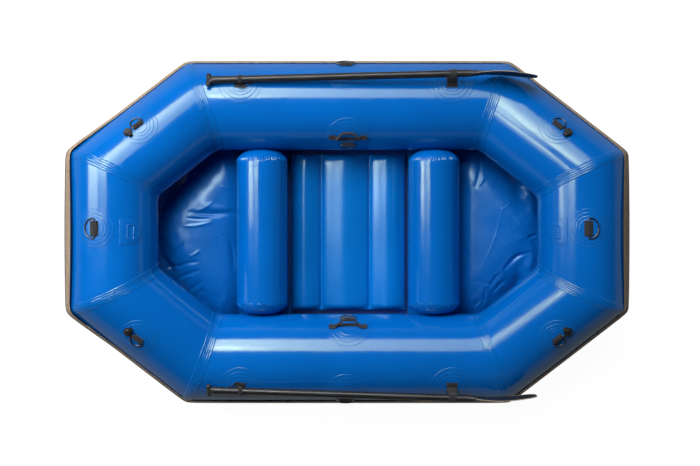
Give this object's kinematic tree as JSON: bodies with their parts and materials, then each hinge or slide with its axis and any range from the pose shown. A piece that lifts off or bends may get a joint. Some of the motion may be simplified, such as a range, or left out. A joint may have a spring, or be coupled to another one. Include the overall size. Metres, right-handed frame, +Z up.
{
  "type": "inflatable raft",
  "caption": "Inflatable river raft with mitred side tubes, cross thwarts, an air floor, grab handles, ring fittings, hinged valve caps and paddles slid into webbing loops.",
  "frame": {"origin": "on the ground under the raft's middle, centred between bow and stern and between the side tubes", "axes": "+X towards the bow, +Y to port, +Z up"},
  "size_m": [2.3816, 1.4798, 0.5267],
  "materials": {
    "blue_pvc": "smooth glossy coated fabric",
    "blue_floor_fabric": "satin coated fabric",
    "blue_patch": "satin coated fabric, glued in steps",
    "taupe_rubber": "matt ribbed rubber",
    "black_webbing": "woven nylon webbing",
    "black_plastic": "moulded, fine texture",
    "stainless_steel": "polished wire",
    "black_coated_aluminium": "black anodised tube"
  },
  "bodies": {
    "raft": {"port_side_tube": "blue_pvc", "stern_port_tube": "blue_pvc", "stern_tube": "blue_pvc", "stern_starboard_tube": "blue_pvc", "starboard_side_tube": "blue_pvc", "bow_starboard_tube": "blue_pvc", "bow_tube": "blue_pvc", "bow_port_tube": "blue_pvc", "port_side_baffle": "blue_floor_fabric", "starboard_side_baffle": "blue_floor_fabric", "bow_baffle": "blue_floor_fabric", "stern_baffle": "blue_floor_fabric", "rub_strake": "taupe_rubber", "forward_thwart": "blue_pvc", "aft_thwart": "blue_pvc", "floor_sheet": "blue_floor_fabric", "floor_mattress": "blue_floor_fabric", "bow_floor_panel": "blue_floor_fabric", "stern_floor_panel": "blue_floor_fabric", "bow_ring_patch": "blue_patch", "stern_ring_patch": "blue_patch", "port_side_ring_patch": "blue_patch", "starboard_side_ring_patch": "blue_patch", "stern_port_ring_patch": "blue_patch", "stern_starboard_ring_patch": "blue_patch", "bow_starboard_ring_patch": "blue_patch", "bow_port_ring_patch": "blue_patch", "stern_port_valve_body": "black_plastic", "stern_starboard_valve_body": "black_plastic", "bow_starboard_valve_body": "black_plastic", "bow_port_valve_body": "black_plastic", "port_handle": "blue_patch", "starboard_handle": "blue_patch", "bow_fitting_patch": "blue_patch", "stern_fitting_patch": "blue_patch", "port_aft_holder": "black_webbing", "port_forward_holder": "black_webbing", "starboard_aft_holder": "black_webbing", "starboard_forward_holder": "black_webbing"},
    "bow_ring": {"bow_ring": "stainless_steel"},
    "stern_ring": {"stern_ring": "stainless_steel"},
    "port_side_ring": {"port_side_ring": "stainless_steel"},
    "starboard_side_ring": {"starboard_side_ring": "stainless_steel"},
    "stern_port_ring": {"stern_port_ring": "stainless_steel"},
    "stern_starboard_ring": {"stern_starboard_ring": "stainless_steel"},
    "bow_starboard_ring": {"bow_starboard_ring": "stainless_steel"},
    "bow_port_ring": {"bow_port_ring": "stainless_steel"},
    "port_handle_ring": {"port_handle_ring": "stainless_steel"},
    "starboard_handle_ring": {"starboard_handle_ring": "stainless_steel"},
    "stern_port_cap": {"stern_port_valve_cap": "black_plastic"},
    "stern_starboard_cap": {"stern_starboard_valve_cap": "black_plastic"},
    "bow_starboard_cap": {"bow_starboard_valve_cap": "black_plastic"},
    "bow_port_cap": {"bow_port_valve_cap": "black_plastic"},
    "port_paddle": {"port_paddle_shaft": "black_coated_aluminium", "port_paddle_blade": "black_plastic", "port_paddle_grip": "black_plastic"},
    "starboard_paddle": {"starboard_paddle_shaft": "black_coated_aluminium", "starboard_paddle_blade": "black_plastic", "starboard_paddle_grip": "black_plastic"}
  },
  "joints": [
    {"name": "bow_ring_swing", "type": "hinge", "parent": "raft", "child": "bow_ring", "pos_m": [0.99008, 0.015, 0.51929], "axis": [0, -1, 0], "range_deg": [0, 175]},
    {"name": "stern_ring_swing", "type": "hinge", "parent": "raft", "child": "stern_ring", "pos_m": [-1.04539, 0.015, 0.5143], "axis": [0, 1, 0], "range_deg": [0, 175]},
    {"name": "port_side_ring_swing", "type": "hinge", "parent": "raft", "child": "port_side_ring", "pos_m": [-0.01, 0.72098, 0.28946], "axis": [1, 0, 0], "range_deg": [0, 175]},
    {"name": "starboard_side_ring_swing", "type": "hinge", "parent": "raft", "child": "starboard_side_ring", "pos_m": [-0.01, -0.72098, 0.28946], "axis": [-1, 0, 0], "range_deg": [0, 175]},
    {"name": "stern_port_ring_swing", "type": "hinge", "parent": "raft", "child": "stern_port_ring", "pos_m": [-0.87572, 0.44762, 0.44889], "axis": [0.7356, 0.6232, -0.2656], "range_deg": [0, 175]},
    {"name": "stern_starboard_ring_swing", "type": "hinge", "parent": "raft", "child": "stern_starboard_ring", "pos_m": [-0.87572, -0.44762, 0.44889], "axis": [-0.7356, 0.6232, 0.2656], "range_deg": [0, 175]},
    {"name": "bow_starboard_ring_swing", "type": "hinge", "parent": "raft", "child": "bow_starboard_ring", "pos_m": [0.87572, -0.44762, 0.44889], "axis": [-0.7356, -0.6232, -0.2656], "range_deg": [0, 175]},
    {"name": "bow_port_ring_swing", "type": "hinge", "parent": "raft", "child": "bow_port_ring", "pos_m": [0.87572, 0.44762, 0.44889], "axis": [0.7356, -0.6232, 0.2656], "range_deg": [0, 175]},
    {"name": "port_handle_ring_swing", "type": "hinge", "parent": "raft", "child": "port_handle_ring", "pos_m": [0, 0.37203, 0.28407], "axis": [-1, 0, 0], "range_deg": [0, 120]},
    {"name": "starboard_handle_ring_swing", "type": "hinge", "parent": "raft", "child": "starboard_handle_ring", "pos_m": [0, -0.37203, 0.28407], "axis": [1, 0, 0], "range_deg": [0, 120]},
    {"name": "stern_port_cap_hinge", "type": "hinge", "parent": "raft", "child": "stern_port_cap", "pos_m": [-0.89995, 0.40528, 0.4782], "axis": [0.7356, 0.6232, -0.2656], "range_deg": [0, 150]},
    {"name": "stern_starboard_cap_hinge", "type": "hinge", "parent": "raft", "child": "stern_starboard_cap", "pos_m": [-0.89995, -0.40528, 0.4782], "axis": [-0.7356, 0.6232, 0.2656], "range_deg": [0, 150]},
    {"name": "bow_starboard_cap_hinge", "type": "hinge", "parent": "raft", "child": "bow_starboard_cap", "pos_m": [0.89995, -0.40528, 0.4782], "axis": [-0.7356, -0.6232, -0.2656], "range_deg": [0, 150]},
    {"name": "bow_port_cap_hinge", "type": "hinge", "parent": "raft", "child": "bow_port_cap", "pos_m": [0.89995, 0.40528, 0.4782], "axis": [0.7356, -0.6232, 0.2656], "range_deg": [0, 150]},
    {"name": "port_paddle_slide", "type": "slide", "parent": "raft", "child": "port_paddle", "axis": [0.9989, 0.0208, 0.0426], "range_m": [-0.035, 0.09]},
    {"name": "starboard_paddle_slide", "type": "slide", "parent": "raft", "child": "starboard_paddle", "axis": [0.9989, -0.0272, 0.0389], "range_m": [-0.035, 0.09]}
  ]
}
